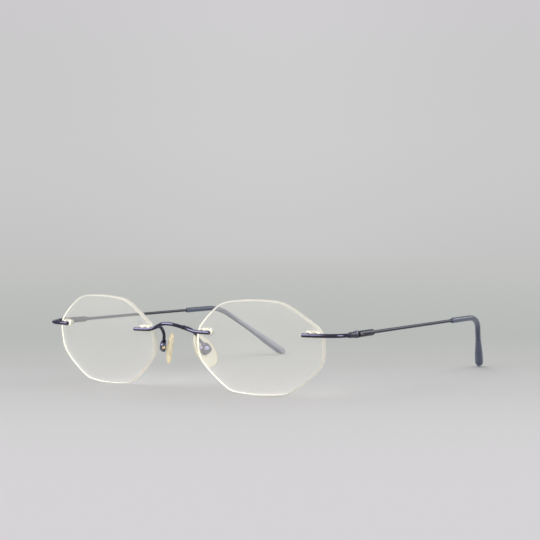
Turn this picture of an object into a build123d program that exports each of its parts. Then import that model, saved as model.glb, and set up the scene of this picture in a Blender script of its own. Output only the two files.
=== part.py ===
"""Rimless octagonal eyeglasses on three-piece mounts, standing with the temples open.

Millimetres. X runs to the wearer's left, Y from the lenses to the ears, Z up.
The origin is the middle of the footprint, on the surface that the glasses stand on.
Every piece of the wearer's left side is modelled here and mirrored to the right at the end.
"""

import os
from math import cos, radians, sin, sqrt, tan

from build123d import *

os.makedirs("parts", exist_ok=True)

# Sizes that name the frame: lens width, gap between the lenses and temple length
lens_width = 50.0
lens_gap = 19.0
temple_length = 135.0

# Lens
lens_height = 32.9
lens_thickness = 2.0
lens_front_radius = 132.0
lens_corner_radius = 7.0
lens_top_corner_radius = 14.0
face_wrap_angle = 4.9
lens_lean_angle = 7.2
# Corners of the octagon from the outer top round over the nose, in half widths and half heights
lens_corner_shares = [
    (0.431, 0.951),
    (-0.528, 0.927),
    (-0.977, 0.342),
    (-0.991, -0.268),
    (-0.493, -0.949),
    (0.428, -0.949),
    (0.963, -0.324),
    (0.995, 0.335),
]
# How far each side bulges, in lengths of that side
lens_bulge_share = 0.038

# Twin-pin mounts: a bar in front of the lens, two pins through it, a clear double sleeve from behind
mount_height = 4.9
nasal_mount_inset = 4.3
temporal_mount_inset = 3.9
pin_spacing = 2.9
pin_diameter = 0.9
pin_fit = 0.02
pin_setback = 0.3
bar_end_past_pin = 1.75
sleeve_diameter = 1.8
sleeve_fit = 0.02
sleeve_stickout = 1.3
sleeve_lip = 0.45
sleeve_plate_thickness = 0.5
sleeve_plate_seat = 0.05
sleeve_plate_width = 2.6

# Bridge wire, from the bar ends over the foot and the shoulder to the crown in the middle
bridge_wire = 1.25
bridge_reach = 4.7
bridge_rise = 2.57
bridge_bar_length = 5.08
bridge_shoulder_shares = (0.376, 0.52, 0.70)
wire_end_chamfer = 0.2

# Nose pad on its own plane, with the stiff core that carries its lug
pad_length = 11.4
pad_width = 8.0
pad_thickness = 2.2
pad_belly_share = -0.14
# From the nose side to the back, in half thicknesses, and how much of the outline is reached there
pad_dome_shares = [
    (-1.00, 0.50),
    (-0.80, 0.81),
    (-0.20, 0.99),
    (0.55, 0.97),
    (1.00, 0.80),
]
pad_centre_x = 8.0
pad_setback = 7.45
pad_centre_height = 13.55
pad_splay_angle = 37.0
pad_frontal_angle = 16.4
pad_rake_angle = 12.4
core_plate_length = 6.4
core_plate_width = 3.6
core_plate_thickness = 0.6
lug_thickness = 1.1
lug_width = 1.5

# Pad box, its screw and its arm
pad_box_diameter = 4.0
pad_box_height = 2.4
pad_box_chamfer = 0.75
pad_box_shift = 0.9
pad_box_gap = 0.4
pad_axis_depth = 1.0
pad_axis_shift = 0.35
lug_side_clearance = 0.12
lug_end_clearance = 0.15
lug_swing_room = 0.35
pad_screw_diameter = 0.8
pad_screw_fit = 0.02
pad_screw_running_fit = 0.04
pad_screw_head_diameter = 1.4
pad_screw_head_height = 0.45
pad_screw_seat_depth = 0.3
pad_screw_seat_room = 0.05
screw_slot_width = 0.22
screw_slot_depth = 0.16
arm_wire = 1.0
arm_root_share = 0.66
arm_start_angle = 20.0
arm_drop_x = 8.65
arm_drop_setback = 4.65
arm_drop_height = 17.55
arm_sink = 1.3

# Endpiece wire and hinge block; the hinge screw leans as much as the lens
end_wire = 1.35
end_bar_reach = 4.4
hinge_outset = 10.2
hinge_setback = 14.25
hinge_height = 21.45
block_length = 5.2
block_diameter = 2.0
block_front_diameter = 1.6
block_flare_length = 2.2
block_socket_depth = 2.2
socket_fit = 0.01
hinge_eye_thickness = 0.72
hinge_eye_diameter = 1.9
hinge_eye_side_gap = 0.05
hinge_eye_room = 0.15
hinge_neck_width = 1.15
hinge_screw_diameter = 0.9
hinge_screw_fit = 0.02
hinge_running_fit = 0.03
hinge_screw_head_diameter = 1.5
hinge_screw_head_height = 0.34

# Housing at the front of the temple, which the eye's rod is pinned into
housing_diameter = 2.2
housing_gap = 0.25
housing_length = 9.9
housing_front_chamfer = 0.15
housing_rear_fillet = 0.75
rod_diameter = 1.2
rod_length = 4.4
rod_fit = 0.01
lock_pin_diameter = 0.6
lock_pin_setback = 1.3
lock_pin_past_middle = 0.2
lock_pin_fit = 0.01

# Temple wire and ear tip
temple_wire = 1.05
temple_toe_in_angle = 1.24
temple_rise_angle = 0.73
temple_socket_depth = 2.4
temple_core_reach = 17.7
ear_inset = 12.9
ear_reach = 28.8
ear_bend_reach = 8.0
tip_sag = 0.6
tip_front_length = 23.4
tip_diameter = 2.16
tip_nose_chamfer = 0.3
tip_end_diameter = 3.4
tip_wire_fit = 0.02
# Along the bulb, then how much of its extra width is reached
tip_swell_shares = [
    (0.29, 0.16),
    (0.62, 0.60),
    (0.85, 0.94),
    (1.00, 1.00),
]

# One overrun serves all cuts
cut_overrun = 1.0

UP = Vector(0, 0, 1)
BACK = Vector(0, 1, 0)


def smooth_bend(start, start_direction, end, end_direction):
    """Two arcs that meet smoothly, the first leaving the start and the second reaching the end."""
    chord = end - start
    along = chord.dot(start_direction + end_direction)
    turn = 2 * (1 - start_direction.dot(end_direction))
    handle = chord.length**2 / (along + sqrt(along**2 + turn * chord.length**2))
    joint = (start + end + (start_direction - end_direction) * handle) / 2
    TangentArc(start, joint, tangent=start_direction)
    TangentArc(end, joint, tangent=-end_direction)


# The lens stands on its lower side and leans forward at the top
wrap = radians(face_wrap_angle)
lean = radians(lens_lean_angle)
half_width = lens_width / 2
half_height = lens_height / 2
lens_sag_below = lens_front_radius - sqrt(lens_front_radius**2 - half_height**2)
lens_centre_height = half_height * cos(lean) - lens_sag_below * sin(lean)

# The origin lies half-way between the bridge's crown and the ends of the tips
tip_end_radius = tip_end_diameter / 2
temple_rod_length = temple_length - tip_end_radius - sqrt(ear_inset**2 + ear_reach**2 + hinge_height**2)
total_depth = bridge_reach + hinge_setback + temple_rod_length + ear_reach + tip_end_radius
face_y = bridge_reach - total_depth / 2

lens_sag_across = lens_front_radius - sqrt(lens_front_radius**2 - half_width**2)
lens_nasal_reach = half_width * cos(wrap) + (lens_sag_across + lens_thickness) * sin(wrap)
lens_centre = Vector(lens_gap / 2 + lens_nasal_reach, face_y, lens_centre_height)
lens_across = Vector(cos(wrap), sin(wrap) * cos(lean), sin(wrap) * sin(lean))
lens_forward = Vector(sin(wrap), -cos(wrap) * cos(lean), -cos(wrap) * sin(lean))
lens_plane = Plane(origin=lens_centre, x_dir=lens_across, z_dir=lens_forward)
lens_ball_centre = lens_centre - lens_forward * lens_front_radius


def mount_plane(across):
    """Plane that touches the lens front at a mount, X to the temple, Z out of the lens."""
    depth = sqrt(lens_front_radius**2 - across**2 - mount_height**2)
    touch = lens_plane.from_local_coords((across, mount_height, depth - lens_front_radius))
    outward = (touch - lens_ball_centre).normalized()
    return Plane(origin=touch, x_dir=UP.cross(outward), z_dir=outward)


nasal_mount = mount_plane(nasal_mount_inset - half_width)
temporal_mount = mount_plane(half_width - temporal_mount_inset)
pin_reach = lens_thickness + sleeve_stickout - pin_setback
left_pieces = []

# Lens: an octagonal blank, ground to two concentric spheres and drilled at both mounts
with BuildPart() as lens_left:
    with BuildSketch(lens_plane.offset(lens_thickness)) as outline:
        corners = [(half_width * across, half_height * up) for across, up in lens_corner_shares]
        with BuildLine():
            for start, end in zip(corners, corners[1:] + corners[:1]):
                side_length = (Vector(end) - Vector(start)).length
                SagittaArc(start, end, -lens_bulge_share * side_length)
        make_face()
        fillet(outline.vertices().sort_by(Axis.Y)[:-2], lens_corner_radius)
        fillet(outline.vertices().sort_by(Axis.Y)[-2:], lens_top_corner_radius)
    extrude(amount=-(half_width**2 / lens_front_radius + 3 * lens_thickness))
    with Locations(lens_ball_centre):
        Sphere(lens_front_radius, mode=Mode.INTERSECT)
        Sphere(lens_front_radius - lens_thickness, mode=Mode.SUBTRACT)
    for mount in (nasal_mount, temporal_mount):
        with BuildSketch(mount.offset(cut_overrun)):
            with GridLocations(pin_spacing, 0, 2, 1):
                Circle(sleeve_diameter / 2 + sleeve_fit)
        extrude(amount=-(lens_thickness + 2 * cut_overrun), mode=Mode.SUBTRACT)
lens_left.part.label = "lens_left"
left_pieces.append(lens_left.part)

# Double sleeves: a plate on the lens back with two tubes that pass through the lens to the bar
for side, mount in (("nasal", nasal_mount), ("temporal", temporal_mount)):
    with BuildPart() as sleeve:
        with BuildSketch(mount.offset(-(lens_thickness + sleeve_plate_seat))):
            SlotCenterToCenter(pin_spacing, sleeve_plate_width)
        extrude(amount=-sleeve_plate_thickness)
        with BuildSketch(mount.offset(sleeve_lip)):
            with GridLocations(pin_spacing, 0, 2, 1):
                Circle(sleeve_diameter / 2)
        extrude(amount=-(sleeve_lip + lens_thickness + sleeve_stickout))
        with BuildSketch(mount.offset(sleeve_lip)):
            with GridLocations(pin_spacing, 0, 2, 1):
                Circle(pin_diameter / 2 + pin_fit)
        extrude(amount=-(sleeve_lip + lens_thickness + sleeve_stickout), mode=Mode.SUBTRACT)
    sleeve.part.label = f"lens_sleeve_{side}_left"
    left_pieces.append(sleeve.part)

# Bridge: one wire over the nose with a straight bar and two pins at each lens
bridge_bar_lift = sleeve_lip + bridge_wire / 2
bridge_bar_end = nasal_mount.from_local_coords((pin_spacing / 2 + bar_end_past_pin, 0, bridge_bar_lift))
bridge_foot = bridge_bar_end - nasal_mount.x_dir * bridge_bar_length
bridge_crown = Vector(0, face_y - bridge_reach + bridge_wire / 2, bridge_foot.Z + bridge_rise)
shoulder_x_share, shoulder_forward_share, shoulder_rise_share = bridge_shoulder_shares
bridge_shoulder = Vector(
    bridge_foot.X * shoulder_x_share,
    bridge_foot.Y + (bridge_crown.Y - bridge_foot.Y) * shoulder_forward_share,
    bridge_foot.Z + bridge_rise * shoulder_rise_share,
)
with BuildPart() as bridge:
    with BuildLine() as bridge_half:
        Line(bridge_bar_end, bridge_foot)
        crown_arc = TangentArc(bridge_crown, bridge_shoulder, tangent=Vector(1, 0, 0))
        smooth_bend(bridge_foot, -nasal_mount.x_dir, bridge_shoulder, -(crown_arc % 1))
    with BuildSketch(Plane(origin=bridge_bar_end, z_dir=-nasal_mount.x_dir)):
        Circle(bridge_wire / 2)
    sweep()
    chamfer(bridge.faces().sort_by_distance(bridge_bar_end)[0].edges(), wire_end_chamfer)
    with BuildSketch(nasal_mount.offset(bridge_bar_lift)):
        with GridLocations(pin_spacing, 0, 2, 1):
            Circle(pin_diameter / 2)
    extrude(amount=-(bridge_bar_lift + pin_reach))
    mirror(about=Plane.YZ)
bridge.part.label = "bridge"
export_step(bridge.part, "parts/bridge.step")

# Pad plane: X along the pad's width to the back, Y up its length, Z away from the nose
pad_down = Vector(tan(radians(pad_frontal_angle)), tan(radians(pad_rake_angle)), -1)
pad_across = Vector(sin(radians(pad_splay_angle)), cos(radians(pad_splay_angle)), 0)
pad_centre = Vector(pad_centre_x, face_y + pad_setback, pad_centre_height)
pad_plane = Plane(origin=pad_centre, x_dir=pad_across, z_dir=pad_down.cross(pad_across))
pad_back = pad_thickness / 2
box_rim = pad_back + pad_box_gap
pad_axis_level = box_rim + pad_axis_depth
pad_axis_point = pad_plane.from_local_coords((0, pad_axis_shift, pad_axis_level))
pad_axis_plane = Plane(origin=pad_axis_point, x_dir=pad_plane.y_dir, z_dir=pad_plane.x_dir)
screw_head_seat = pad_box_diameter / 2 - pad_screw_seat_depth

# Pad core: a plate that sits inside the pad and a lug that reaches into the box
with BuildPart() as pad_core_left:
    with BuildSketch(pad_plane.offset(-core_plate_thickness / 2)):
        SlotOverall(core_plate_length, core_plate_width, rotation=90)
    extrude(amount=core_plate_thickness)
    with BuildSketch(pad_plane):
        with Locations((0, pad_axis_shift)):
            Rectangle(lug_thickness, lug_width)
    extrude(amount=pad_axis_level)
    with BuildSketch(pad_axis_plane.offset(-lug_thickness / 2)):
        Circle(lug_width / 2)
    extrude(amount=lug_thickness)
    with BuildSketch(pad_axis_plane.offset(-lug_thickness)):
        Circle(pad_screw_diameter / 2 + pad_screw_running_fit)
    extrude(amount=2 * lug_thickness, mode=Mode.SUBTRACT)
pad_core_left.part.label = "pad_core_left"
left_pieces.append(pad_core_left.part)

# Nose pad: an egg-shaped soft cushion moulded over the core
with BuildPart() as nose_pad_left:
    for level_share, outline_share in pad_dome_shares:
        reach = pad_length / 2 * outline_share
        side = pad_width / 2 * outline_share
        belly = pad_belly_share * reach
        with BuildSketch(pad_plane.offset(pad_back * level_share)):
            with BuildLine():
                Spline(
                    (0, -reach),
                    (side, belly),
                    (0, reach),
                    (-side, belly),
                    (0, -reach),
                    tangents=((1, 0), (0, 1), (-1, 0), (0, -1), (1, 0)),
                )
            make_face()
    loft(ruled=True)
    add(pad_core_left.part, mode=Mode.SUBTRACT)
nose_pad_left.part.label = "nose_pad_left"
left_pieces.append(nose_pad_left.part)

# Pad box: a small domed cup that is open to the pad, with room for the lug to rock
with BuildPart() as pad_box_left:
    with BuildSketch(pad_plane.offset(box_rim)):
        with Locations((0, pad_box_shift)):
            Circle(pad_box_diameter / 2)
    extrude(amount=pad_box_height)
    dome = pad_box_left.faces().sort_by(Axis(pad_plane.origin, pad_plane.z_dir))[-1]
    chamfer(dome.edges(), pad_box_chamfer)
    with BuildSketch(pad_plane.offset(box_rim)):
        with Locations((0, pad_axis_shift)):
            Rectangle(lug_thickness + 2 * lug_side_clearance, lug_width + 2 * lug_swing_room)
    extrude(amount=pad_axis_depth + lug_width / 2 + lug_end_clearance, mode=Mode.SUBTRACT)
    with BuildSketch(pad_axis_plane.offset(-pad_box_diameter)):
        Circle(pad_screw_diameter / 2 + pad_screw_fit)
    extrude(amount=2 * pad_box_diameter, mode=Mode.SUBTRACT)
    with BuildSketch(pad_axis_plane.offset(-screw_head_seat)):
        Circle(pad_screw_head_diameter / 2 + pad_screw_seat_room)
    extrude(amount=-cut_overrun, mode=Mode.SUBTRACT)
pad_box_left.part.label = "pad_box_left"
left_pieces.append(pad_box_left.part)

# Pad screw: slotted, its head in the box's front face
with BuildPart() as pad_screw_left:
    with BuildSketch(pad_axis_plane.offset(-screw_head_seat)):
        Circle(pad_screw_diameter / 2)
    extrude(amount=2 * screw_head_seat)
    with BuildSketch(pad_axis_plane.offset(-screw_head_seat)):
        Circle(pad_screw_head_diameter / 2)
    extrude(amount=-pad_screw_head_height)
    with BuildSketch(pad_axis_plane.offset(-screw_head_seat - pad_screw_head_height)):
        Rectangle(pad_screw_head_diameter + cut_overrun, screw_slot_width, rotation=35)
    extrude(amount=screw_slot_depth, mode=Mode.SUBTRACT)
pad_screw_left.part.label = "pad_screw_left"
left_pieces.append(pad_screw_left.part)

# Pad arm: a wire soldered to the back of the bridge wire and to the top of the box
arm_end = pad_plane.from_local_coords(
    (0, pad_box_shift + pad_box_diameter / 2 - arm_sink, box_rim + pad_box_height / 2)
)
arm_drop = Vector(arm_drop_x, face_y + arm_drop_setback, arm_drop_height)
arm_start = Vector(sin(radians(arm_start_angle)), cos(radians(arm_start_angle)), 0)
arm_root = bridge_half.wires()[0] @ arm_root_share
with BuildPart() as pad_arm_left:
    with BuildLine():
        smooth_bend(arm_root, arm_start, arm_drop, (arm_end - arm_drop).normalized())
        Line(arm_drop, arm_end)
    with BuildSketch(Plane(origin=arm_root, z_dir=arm_start)):
        Circle(arm_wire / 2)
    sweep()
    add(bridge.part, mode=Mode.SUBTRACT)
    with BuildSketch(pad_plane.offset(box_rim)):
        with Locations((0, pad_box_shift)):
            Circle(pad_box_diameter / 2)
    extrude(amount=pad_box_height, mode=Mode.SUBTRACT)
pad_arm_left.part.label = "pad_arm_left"
left_pieces.append(pad_arm_left.part)

# Hinge plane: Z up the screw, Y back along the temple. Temple plane: Z back along the temple
toe_in = radians(temple_toe_in_angle)
rise = radians(temple_rise_angle)
hinge_centre = Vector(temporal_mount.origin.X + hinge_outset, face_y + hinge_setback, hinge_height)
hinge_axis = Vector(0, -sin(lean), cos(lean))
temple_back = Vector(-sin(toe_in), cos(toe_in) * cos(rise), sin(rise))
hinge_plane = Plane(origin=hinge_centre, x_dir=temple_back.cross(hinge_axis), z_dir=hinge_axis)
temple_plane = Plane(origin=hinge_centre, x_dir=temple_back.cross(UP), z_dir=temple_back)
block_radius = block_diameter / 2

# Hinge block: swells out of the endpiece wire and ends in a slotted barrel
with BuildPart() as hinge_block_left:
    with BuildSketch(Plane(origin=hinge_centre, x_dir=BACK, z_dir=(1, 0, 0))):
        with BuildLine():
            flare_end = (block_flare_length - block_length, block_radius)
            Line((-block_length, 0), (-block_length, block_front_diameter / 2))
            TangentArc(flare_end, (-block_length, block_front_diameter / 2), tangent=(-1, 0))
            Line(flare_end, (0, block_radius))
            Line((0, block_radius), (0, 0))
            Line((0, 0), (-block_length, 0))
        make_face()
    revolve(axis=Axis(hinge_centre, BACK))
    with BuildSketch(hinge_plane.offset(-block_radius)):
        Circle(block_radius)
    extrude(amount=block_diameter)
    slot_depth = hinge_eye_diameter / 2 + hinge_eye_room
    slot_height = hinge_eye_thickness + 2 * hinge_eye_side_gap
    with BuildSketch(hinge_plane.offset(-slot_height / 2)):
        with Locations((0, -slot_depth)):
            Rectangle(2 * block_diameter, 2 * block_diameter, align=(Align.CENTER, Align.MIN))
    extrude(amount=slot_height, mode=Mode.SUBTRACT)
    with BuildSketch(hinge_plane.offset(-block_diameter)):
        Circle(hinge_screw_diameter / 2 + hinge_screw_fit)
    extrude(amount=2 * block_diameter, mode=Mode.SUBTRACT)
    with BuildSketch(hinge_plane.offset(block_radius)):
        Circle(hinge_screw_head_diameter / 2 + hinge_eye_side_gap)
    extrude(amount=hinge_screw_head_height, mode=Mode.SUBTRACT)
    with BuildSketch(Plane(origin=hinge_centre - BACK * block_length, z_dir=BACK)):
        Circle(end_wire / 2 + socket_fit)
    extrude(amount=block_socket_depth, mode=Mode.SUBTRACT)
hinge_block_left.part.label = "hinge_block_left"
left_pieces.append(hinge_block_left.part)

# Endpiece: bar and pins on the lens, then a wire that turns back into the hinge block
end_bar_lift = sleeve_lip + end_wire / 2
end_bar_start = temporal_mount.from_local_coords((-pin_spacing / 2 - bar_end_past_pin, 0, end_bar_lift))
end_bend_start = temporal_mount.from_local_coords((end_bar_reach, 0, end_bar_lift))
block_mouth = hinge_centre - BACK * block_length
with BuildPart() as endpiece_left:
    with BuildLine():
        Line(end_bar_start, end_bend_start)
        smooth_bend(end_bend_start, temporal_mount.x_dir, block_mouth, BACK)
        Line(block_mouth, block_mouth + BACK * (block_socket_depth - pin_fit))
    with BuildSketch(Plane(origin=end_bar_start, z_dir=temporal_mount.x_dir)):
        Circle(end_wire / 2)
    sweep()
    chamfer(endpiece_left.faces().sort_by_distance(end_bar_start)[0].edges(), wire_end_chamfer)
    with BuildSketch(temporal_mount.offset(end_bar_lift)):
        with GridLocations(pin_spacing, 0, 2, 1):
            Circle(pin_diameter / 2)
    extrude(amount=-(end_bar_lift + pin_reach))
endpiece_left.part.label = "endpiece_left"
left_pieces.append(endpiece_left.part)

# Hinge screw: the pin that the temple turns on, its slotted head on top of the barrel
with BuildPart() as hinge_screw_left:
    with BuildSketch(hinge_plane.offset(-block_radius)):
        Circle(hinge_screw_diameter / 2)
    extrude(amount=block_diameter)
    with BuildSketch(hinge_plane.offset(block_radius)):
        Circle(hinge_screw_head_diameter / 2)
    extrude(amount=hinge_screw_head_height)
    with BuildSketch(hinge_plane.offset(block_radius + hinge_screw_head_height)):
        Rectangle(hinge_screw_head_diameter + cut_overrun, screw_slot_width, rotation=20)
    extrude(amount=-screw_slot_depth, mode=Mode.SUBTRACT)
hinge_screw_left.part.label = "hinge_screw_left"
left_pieces.append(hinge_screw_left.part)

# Stations along the temple, all measured from the hinge screw
housing_front = block_radius + housing_gap
housing_rear = housing_front + housing_length
rod_end = housing_front + rod_length
lock_pin_plane = Plane(
    origin=temple_plane.from_local_coords((-lock_pin_past_middle, 0, housing_front + lock_pin_setback)),
    z_dir=temple_plane.x_dir,
)

# Locking pin: holds the rod, its end shows on the outer face of the housing
with BuildPart() as lock_pin_left:
    with BuildSketch(lock_pin_plane):
        Circle(lock_pin_diameter / 2)
    extrude(amount=housing_diameter / 2 + lock_pin_past_middle)
lock_pin_left.part.label = "lock_pin_left"
left_pieces.append(lock_pin_left.part)

# Hinge eye: the plate that turns in the slot, with its neck and the rod that goes into the housing
with BuildPart() as hinge_eye_left:
    with BuildSketch(hinge_plane.offset(-hinge_eye_thickness / 2)):
        Circle(hinge_eye_diameter / 2)
        Rectangle(hinge_neck_width, housing_front, align=(Align.CENTER, Align.MIN))
        Circle(hinge_screw_diameter / 2 + hinge_running_fit, mode=Mode.SUBTRACT)
    extrude(amount=hinge_eye_thickness)
    with BuildSketch(temple_plane.offset(housing_front)):
        Circle(rod_diameter / 2)
    extrude(amount=rod_length)
    with BuildSketch(lock_pin_plane):
        Circle(lock_pin_diameter / 2 + lock_pin_fit)
    extrude(amount=housing_diameter, mode=Mode.SUBTRACT)
hinge_eye_left.part.label = "hinge_eye_left"
left_pieces.append(hinge_eye_left.part)

# Housing: a closed barrel with the rod in its front and the temple wire in its rear
with BuildPart() as temple_housing_left:
    with BuildSketch(temple_plane.offset(housing_front)):
        Circle(housing_diameter / 2)
    extrude(amount=housing_length)
    ends = temple_housing_left.faces().sort_by(Axis(hinge_centre, temple_back))
    chamfer(ends[0].edges(), housing_front_chamfer)
    fillet(ends[-1].edges(), housing_rear_fillet)
    with BuildSketch(temple_plane.offset(housing_front)):
        Circle(rod_diameter / 2 + rod_fit)
    extrude(amount=rod_length, mode=Mode.SUBTRACT)
    with BuildSketch(temple_plane.offset(housing_rear)):
        Circle(temple_wire / 2 + socket_fit)
    extrude(amount=-temple_socket_depth, mode=Mode.SUBTRACT)
    with BuildSketch(lock_pin_plane):
        Circle(lock_pin_diameter / 2 + lock_pin_fit)
    extrude(amount=housing_diameter, mode=Mode.SUBTRACT)
temple_housing_left.part.label = "temple_housing_left"
left_pieces.append(temple_housing_left.part)

# Route of the temple: a straight rod, a bend, then a straight drop behind the ear
wire_start = temple_plane.from_local_coords((0, 0, housing_rear - temple_socket_depth))
ear_corner = temple_plane.from_local_coords((0, 0, temple_rod_length))
ear_end = Vector(ear_corner.X - ear_inset, ear_corner.Y + ear_reach, tip_end_radius)
core_end = ear_corner + (ear_end - ear_corner).normalized() * temple_core_reach - UP * tip_sag
ear_back = (core_end - ear_corner).normalized()
bend_start = ear_corner - temple_back * ear_bend_reach
bend_end = ear_corner + ear_back * ear_bend_reach

# Temple wire: runs from the housing into the tip and stops before the bulb
with BuildPart() as temple_wire_left:
    with BuildLine():
        Line(wire_start, bend_start)
        TangentArc(bend_start, bend_end, tangent=temple_back)
        Line(bend_end, core_end)
    with BuildSketch(Plane(origin=wire_start, z_dir=temple_back)):
        Circle(temple_wire / 2)
    sweep()
temple_wire_left.part.label = "temple_wire_left"
left_pieces.append(temple_wire_left.part)

# Bulb at the lower end of the ear tip: swells along its axis and ends in a half ball
tip_radius = tip_diameter / 2
bulb_length = (ear_end - core_end).length
bulb_back = (ear_end - core_end).normalized()
with BuildPart() as ear_bulb:
    with BuildSketch(Plane(origin=core_end, x_dir=bulb_back, z_dir=bulb_back.cross(UP))):
        with BuildLine():
            profile = [(0, 0), (0, tip_radius)]
            for along_share, swell_share in tip_swell_shares:
                swell = (tip_end_radius - tip_radius) * swell_share
                profile.append((bulb_length * along_share, tip_radius + swell))
            Polyline(*profile)
            CenterArc((bulb_length, 0), tip_end_radius, 0, 90)
            Line((bulb_length + tip_end_radius, 0), profile[0])
        make_face()
    revolve(axis=Axis(core_end, bulb_back))

# Ear tip: a soft round sleeve round the wire, joined to its bulb where the wire ends
tip_start = ear_corner - temple_back * tip_front_length
with BuildPart() as temple_tip_left:
    with BuildLine():
        Line(tip_start, bend_start)
        TangentArc(bend_start, bend_end, tangent=temple_back)
        Line(bend_end, core_end)
    with BuildSketch(Plane(origin=tip_start, z_dir=temple_back)):
        Circle(tip_radius)
        Circle(temple_wire / 2 + tip_wire_fit, mode=Mode.SUBTRACT)
    sweep()
    nose = temple_tip_left.faces().sort_by_distance(tip_start)[0]
    chamfer(nose.outer_wire().edges(), tip_nose_chamfer)
    add(ear_bulb.part)
temple_tip_left.part.label = "temple_tip_left"
left_pieces.append(temple_tip_left.part)

# The wearer's right side is the mirror image
for piece in left_pieces:
    export_step(piece, f"parts/{piece.label}.step")
    with BuildPart() as twin:
        mirror(piece, about=Plane.YZ)
    twin.part.label = piece.label.replace("_left", "_right")
    export_step(twin.part, f"parts/{twin.part.label}.step")
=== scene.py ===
# %% [markdown]
# # Rimless glasses with octagonal lenses
# The measured model holds every real piece as a solid. This lesson builds the finished look around
# it: smooth wires, clear lenses with ground edges, soft nose pads and ear tips.
# The model is loaded first and never moved, so a new piece only has to be built at its real place.

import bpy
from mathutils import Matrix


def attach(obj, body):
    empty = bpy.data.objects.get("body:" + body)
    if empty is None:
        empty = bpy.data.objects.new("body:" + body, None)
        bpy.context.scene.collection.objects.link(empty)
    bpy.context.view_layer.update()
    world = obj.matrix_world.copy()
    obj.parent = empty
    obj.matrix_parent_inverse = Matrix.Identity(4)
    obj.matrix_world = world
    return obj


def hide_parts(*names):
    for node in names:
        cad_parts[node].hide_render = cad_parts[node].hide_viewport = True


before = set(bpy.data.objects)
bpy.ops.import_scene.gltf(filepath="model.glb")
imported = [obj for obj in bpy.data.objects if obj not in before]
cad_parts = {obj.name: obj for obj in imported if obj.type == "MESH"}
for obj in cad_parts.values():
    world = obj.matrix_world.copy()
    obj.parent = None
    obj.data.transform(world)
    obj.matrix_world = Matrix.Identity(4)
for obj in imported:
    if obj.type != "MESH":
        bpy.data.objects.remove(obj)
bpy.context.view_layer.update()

# %% Tools for the rest of the lesson
from math import cos, pi, radians, sin, sqrt, tan

import bmesh
import bpy
from mathutils import Matrix, Vector

MM = 0.001
ACROSS = Vector((1, 0, 0))
BACK = Vector((0, 1, 0))
UP = Vector((0, 0, 1))
scene = bpy.context.scene


def add_object(name, data):
    """A new object in the scene. A bmesh is made a mesh first."""
    if isinstance(data, bmesh.types.BMesh):
        mesh = bpy.data.meshes.new(name)
        data.to_mesh(mesh)
        data.free()
        data = mesh
    made = bpy.data.objects.new(name, data)
    scene.collection.objects.link(made)
    return made


def spaced(end, steps):
    """Even steps from 0 to end, both ends in."""
    return [end * k / steps for k in range(steps + 1)]


print("Blender", bpy.app.version_string)

# %% [markdown]
# ## Camera
# The photo was taken from a little to the wearer's left, almost level with the glasses, with a long
# lens. A long lens flattens the view, so its length matters as much as its place. The place, angle
# and length here come from matching the corners of both lenses and the ends of both temples.

# %% Camera
CAMERA_PLACE = Vector((277.3, -403.4, 51.2)) * MM
CAMERA_TURN = radians(35.131)
CAMERA_DIP = radians(1.192)
CAMERA_LENS = 82.58

camera = add_object("camera", bpy.data.cameras.new("camera"))
camera.data.sensor_width = 36
camera.data.lens = CAMERA_LENS
camera.data.clip_start = 0.01
camera.location = CAMERA_PLACE
camera.rotation_euler = (pi / 2 - CAMERA_DIP, 0, CAMERA_TURN)
scene.camera = camera
print("camera stands", round(CAMERA_PLACE.length * 1000), "mm from the middle of the glasses")

# %% [markdown]
# ## A small language for shader nodes
# A few helpers keep node trees short: one adds a node and fills its inputs by name, and the others
# wrap the nodes that come back most.

# %% Helpers for node trees
SMOOTH = {"interpolation_type": "SMOOTHSTEP"}


def add_node(tree, kind, settings=(), **inputs):
    """A new node. An input is a value, a socket or a node, which gives its first output.

    In the names of inputs _ stands for a space, and _0, _1 pick by number."""
    made = tree.nodes.new(kind)
    for key, value in dict(settings).items():
        setattr(made, key, value)
    for key, value in inputs.items():
        place = int(key[1:]) if key[0] == "_" else key.replace("_", " ")
        if isinstance(value, bpy.types.Node):
            value = value.outputs[0]
        if isinstance(value, bpy.types.NodeSocket):
            tree.links.new(value, made.inputs[place])
        else:
            made.inputs[place].default_value = value
    return made


def maths(tree, operation, first, second=0.0):
    """The result of a sum with one or two numbers."""
    return add_node(tree, "ShaderNodeMath", {"operation": operation}, _0=first, _1=second)


def vector_maths(tree, operation, **inputs):
    """The outputs of a sum with vectors."""
    return add_node(tree, "ShaderNodeVectorMath", {"operation": operation}, **inputs).outputs


def ranged(tree, value, low=0.0, high=1.0, to_low=0.0, to_high=1.0, settings=()):
    """A value carried over from one range to another."""
    ends = {"_1": low, "_2": high, "_3": to_low, "_4": to_high}
    return add_node(tree, "ShaderNodeMapRange", settings, _0=value, **ends)


def mixed(tree, share, first, second):
    """A colour between two others."""
    mix = add_node(tree, "ShaderNodeMix", {"data_type": "RGBA"}, _0=share, _6=first, _7=second)
    return mix.outputs[2]


def object_place(tree):
    """Where a point is on the object, in metres."""
    return add_node(tree, "ShaderNodeTexCoord").outputs["Object"]


print("soft steps use", SMOOTH["interpolation_type"])

# %% Helpers for colours and materials
def colour(red, green, blue):
    """A colour as it looks on screen, 0 to 255, in the light values of shaders."""
    shares = [value / 255 for value in (red, green, blue)]
    return tuple(s / 12.92 if s < 0.04045 else ((s + 0.055) / 1.055) ** 2.4 for s in shares) + (1,)


def add_ramp(tree, factor, stops):
    """A colour ramp with its stops as (position, colour on screen)."""
    made = add_node(tree, "ShaderNodeValToRGB", _0=factor)
    ramp = made.color_ramp
    while len(ramp.elements) < len(stops):
        ramp.elements.new(0.5)
    for element, (position, shade) in zip(ramp.elements, stops):
        element.position = position
        element.color = colour(*shade)
    return made.outputs["Color"]


def new_material(name):
    """An empty material with nodes, and its tree."""
    made = bpy.data.materials.new(name)
    made.use_nodes = True
    made.node_tree.nodes.clear()
    return made, made.node_tree


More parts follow.
